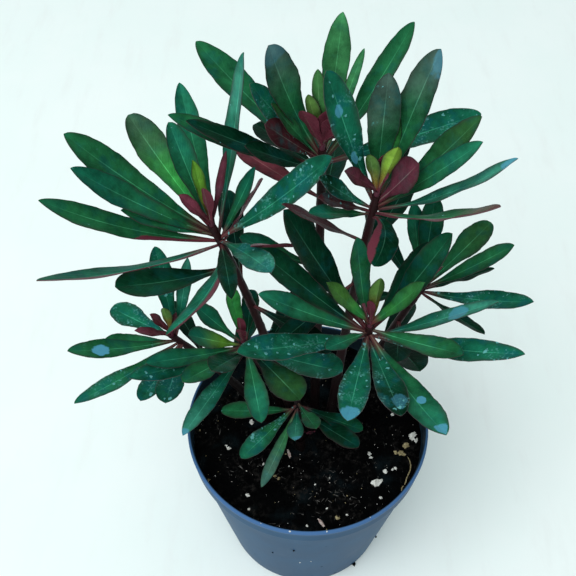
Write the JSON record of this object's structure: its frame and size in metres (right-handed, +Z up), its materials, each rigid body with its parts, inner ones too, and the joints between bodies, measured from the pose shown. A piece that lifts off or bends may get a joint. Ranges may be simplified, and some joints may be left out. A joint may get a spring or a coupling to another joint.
{
  "type": "potted euphorbia",
  "caption": "Leafy wood spurge growing in a round, tapered plastic nursery pot filled with dark compost.",
  "frame": {"origin": "middle of the flat underside of the pot's centre pad, on the surface it stands on", "axes": "+Z up, the pot's axis; -Y towards the viewer of the picture and +X to that viewer's right"},
  "size_m": [0.2155, 0.1516, 0.3382],
  "materials": {
    "pot_plastic": "satin slate-blue injection-moulded plastic",
    "compost": "moist near-black peat compost with pale bits",
    "leaf_green": "waxy dark blue-green leaves on burgundy stems",
    "young_red": "young leaves, burgundy with yellow-green tips"
  },
  "bodies": {
    "root": {"pot": "pot_plastic", "soil": "compost", "stem_left": "leaf_green", "crown_left": "young_red", "stem_top": "leaf_green", "crown_top": "young_red", "stem_right": "leaf_green", "crown_right": "young_red", "stem_front": "leaf_green", "crown_front": "young_red", "stem_low_left": "leaf_green", "crown_low_left": "young_red", "stem_middle_left": "leaf_green", "crown_middle_left": "young_red", "stem_back_right": "leaf_green", "crown_back_right": "young_red", "stem_low_front": "leaf_green"}
  },
  "joints": []
}
